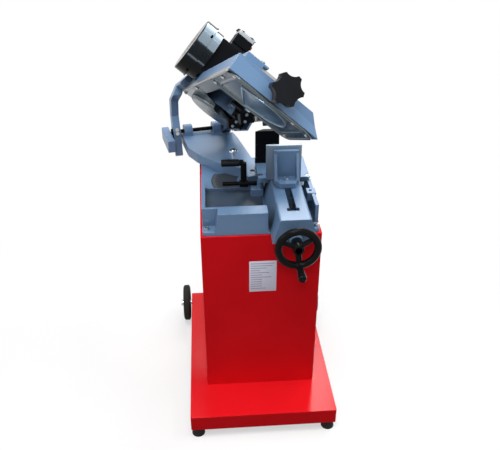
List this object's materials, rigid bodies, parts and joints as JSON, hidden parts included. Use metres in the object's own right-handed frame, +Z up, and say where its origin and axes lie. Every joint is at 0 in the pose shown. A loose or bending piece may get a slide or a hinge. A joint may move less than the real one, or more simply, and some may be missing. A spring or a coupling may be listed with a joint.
{
  "type": "metal cutting band saw",
  "caption": "Swivel-head band saw for metal with a canted bow, screw vise, chip trough base and a sheet-metal stand on feet and transport wheels.",
  "frame": {"origin": "on the floor, under the middle of the machine's bounding box", "axes": "+X to the operator's right, +Y to the rear, +Z up"},
  "size_m": [0.6332, 0.9536, 1.2935],
  "materials": {
    "red_paint": "gloss red powder coat",
    "blue_paint": "satin grey-blue machine enamel",
    "black_paint": "black enamel",
    "black_gloss": "gloss black enamel",
    "black_plastic": "black moulded plastic",
    "rubber": "black rubber",
    "tyre": "grey-black tyre rubber",
    "hub_plastic": "dark moulded hub",
    "zinc_sheet": "yellow-zinc plated sheet",
    "steel": "bright turned steel",
    "dark_steel": "dark ground steel",
    "cast_iron": "machined cast iron",
    "band_steel": "hardened band steel",
    "bronze": "bronze",
    "scale_plate": "dark scale plate",
    "chrome": "bright chrome",
    "tap_metal": "plated brass",
    "red_plastic": "red plastic",
    "green_plastic": "green plastic"
  },
  "bodies": {
    "stand": {"platform": "red_paint", "rubber_feet": "rubber", "wheel_axle": "steel", "stand_cabinet": "red_paint", "base_casting": "blue_paint", "base_bolts": "steel", "swivel_pin": "steel", "mitre_scale": "scale_plate", "vise_bed": "blue_paint", "table_bolts": "steel", "fixed_jaw": "black_paint"},
    "left_wheel": {"left_wheel_hub": "hub_plastic", "left_wheel_tyre": "tyre"},
    "right_wheel": {"right_wheel_hub": "hub_plastic", "right_wheel_tyre": "tyre"},
    "jaw": {"jaw_bracket": "blue_paint", "jaw_plate": "dark_steel", "jaw_bolt": "steel"},
    "screw": {"vise_screw": "dark_steel", "handwheel": "black_plastic", "crank_bolt": "black_paint"},
    "grip": {"crank_grip": "black_plastic"},
    "lever": {"clamp_lever": "black_paint", "lever_grip": "black_plastic"},
    "arm": {"swivel_arm": "blue_paint", "hinge_shaft": "black_paint", "stop_post": "chrome", "side_bracket": "blue_paint"},
    "bow": {"bow_frame": "blue_paint", "knuckle_bolts": "steel", "front_blade_cover": "zinc_sheet", "rear_blade_cover": "zinc_sheet", "rail_cover": "zinc_sheet", "cover_screws": "steel", "gearbox_housing": "black_paint", "motor_body": "black_paint", "fan_cowl": "black_gloss", "terminal_box": "black_paint", "tension_rails": "blue_paint", "rail_screws": "dark_steel", "guide_beam": "steel", "rear_guide": "black_paint", "rear_guide_rollers": "steel", "saw_band": "band_steel"},
    "drive": {"drive_wheel": "cast_iron", "output_shaft": "steel", "worm_wheel": "bronze"},
    "worm": {"worm_shaft": "steel", "motor_fan": "black_plastic"},
    "idler_slide": {"tension_slide": "steel"},
    "idler": {"idler_wheel": "cast_iron"},
    "knob": {"tension_screw": "steel", "star_knob": "black_plastic"},
    "front_guide": {"front_guide": "black_paint", "front_guide_rollers": "steel", "coolant_tap": "tap_metal"},
    "tap": {"tap_lever": "red_plastic"},
    "start": {"start_button": "green_plastic"},
    "stop": {"stop_button": "red_plastic"}
  },
  "joints": [
    {"name": "mitre_swivel", "type": "hinge", "parent": "stand", "child": "arm", "pos_m": [0.01858, 0.06123, 0.7384], "axis": [0, 0, 1], "range_deg": [-57, 0]},
    {"name": "bow_tilt", "type": "hinge", "parent": "arm", "child": "bow", "pos_m": [-0.06313, 0.44564, 0.789], "axis": [-0.9781, -0.2079, 0], "range_deg": [-15, 30]},
    {"name": "screw_turn", "type": "hinge", "parent": "stand", "child": "screw", "pos_m": [0.11758, -0.40077, 0.742], "axis": [0, 1, 0], "range_deg": [-9000, 10620]},
    {"name": "jaw_slide", "type": "slide", "parent": "stand", "child": "jaw", "axis": [0, 1, 0], "range_m": [-0.1, 0.118]},
    {"name": "grip_spin", "type": "hinge", "parent": "screw", "child": "grip", "pos_m": [0.1229, -0.40077, 0.68123], "axis": [0, -1, 0], "continuous": true},
    {"name": "lever_turn", "type": "hinge", "parent": "stand", "child": "lever", "pos_m": [-0.01692, -0.00877, 0.762], "axis": [1, 0, 0], "range_deg": [-25, 25]},
    {"name": "left_wheel_spin", "type": "hinge", "parent": "stand", "child": "left_wheel", "pos_m": [-0.24842, 0.22823, 0.079], "axis": [1, 0, 0], "continuous": true},
    {"name": "right_wheel_spin", "type": "hinge", "parent": "stand", "child": "right_wheel", "pos_m": [0.29158, 0.22823, 0.079], "axis": [1, 0, 0], "continuous": true},
    {"name": "worm_spin", "type": "hinge", "parent": "bow", "child": "worm", "pos_m": [-0.01865, 0.24081, 1.03641], "axis": [0.7685, -0.0978, -0.6323], "continuous": true},
    {"name": "drive_spin", "type": "hinge", "parent": "bow", "child": "drive", "pos_m": [-0.09085, 0.25243, 0.94688], "axis": [0.6101, 0.4098, 0.6781], "continuous": true},
    {"name": "knob_turn", "type": "hinge", "parent": "bow", "child": "knob", "pos_m": [0.03647, -0.2228, 1.14826], "axis": [0.1928, -0.9069, 0.3746], "range_deg": [-5, 2165]},
    {"name": "idler_slide", "type": "slide", "parent": "bow", "child": "idler_slide", "axis": [0.1928, -0.9069, 0.3746], "range_m": [-0.012, 0]},
    {"name": "idler_spin", "type": "hinge", "parent": "idler_slide", "child": "idler", "pos_m": [0.01151, -0.22912, 1.14578], "axis": [0.6101, 0.4098, 0.6781], "continuous": true},
    {"name": "guide_slide", "type": "slide", "parent": "bow", "child": "front_guide", "axis": [0.1928, -0.9069, 0.3746], "range_m": [0, 0.1]},
    {"name": "tap_turn", "type": "hinge", "parent": "front_guide", "child": "tap", "pos_m": [0.06551, 0.00396, 0.9722], "axis": [0.1928, -0.9069, 0.3746], "range_deg": [0, 90]},
    {"name": "start_press", "type": "slide", "parent": "bow", "child": "start", "axis": [0.7685, -0.0978, -0.6323], "range_m": [-0.003, 0], "stiffness_N_per_m": 600, "springref_m": 0.003},
    {"name": "stop_press", "type": "slide", "parent": "bow", "child": "stop", "axis": [0.7685, -0.0978, -0.6323], "range_m": [-0.003, 0], "stiffness_N_per_m": 600, "springref_m": 0.003}
  ],
  "couplings": [
    {"joint": "jaw_slide", "follows": "screw_turn", "m_per_rad": 0.00063662},
    {"joint": "drive_spin", "follows": "worm_spin", "ratio": 0.033333},
    {"joint": "idler_spin", "follows": "worm_spin", "ratio": 0.033333},
    {"joint": "knob_turn", "follows": "idler_slide", "rad_per_m": -3141.6}
  ]
}
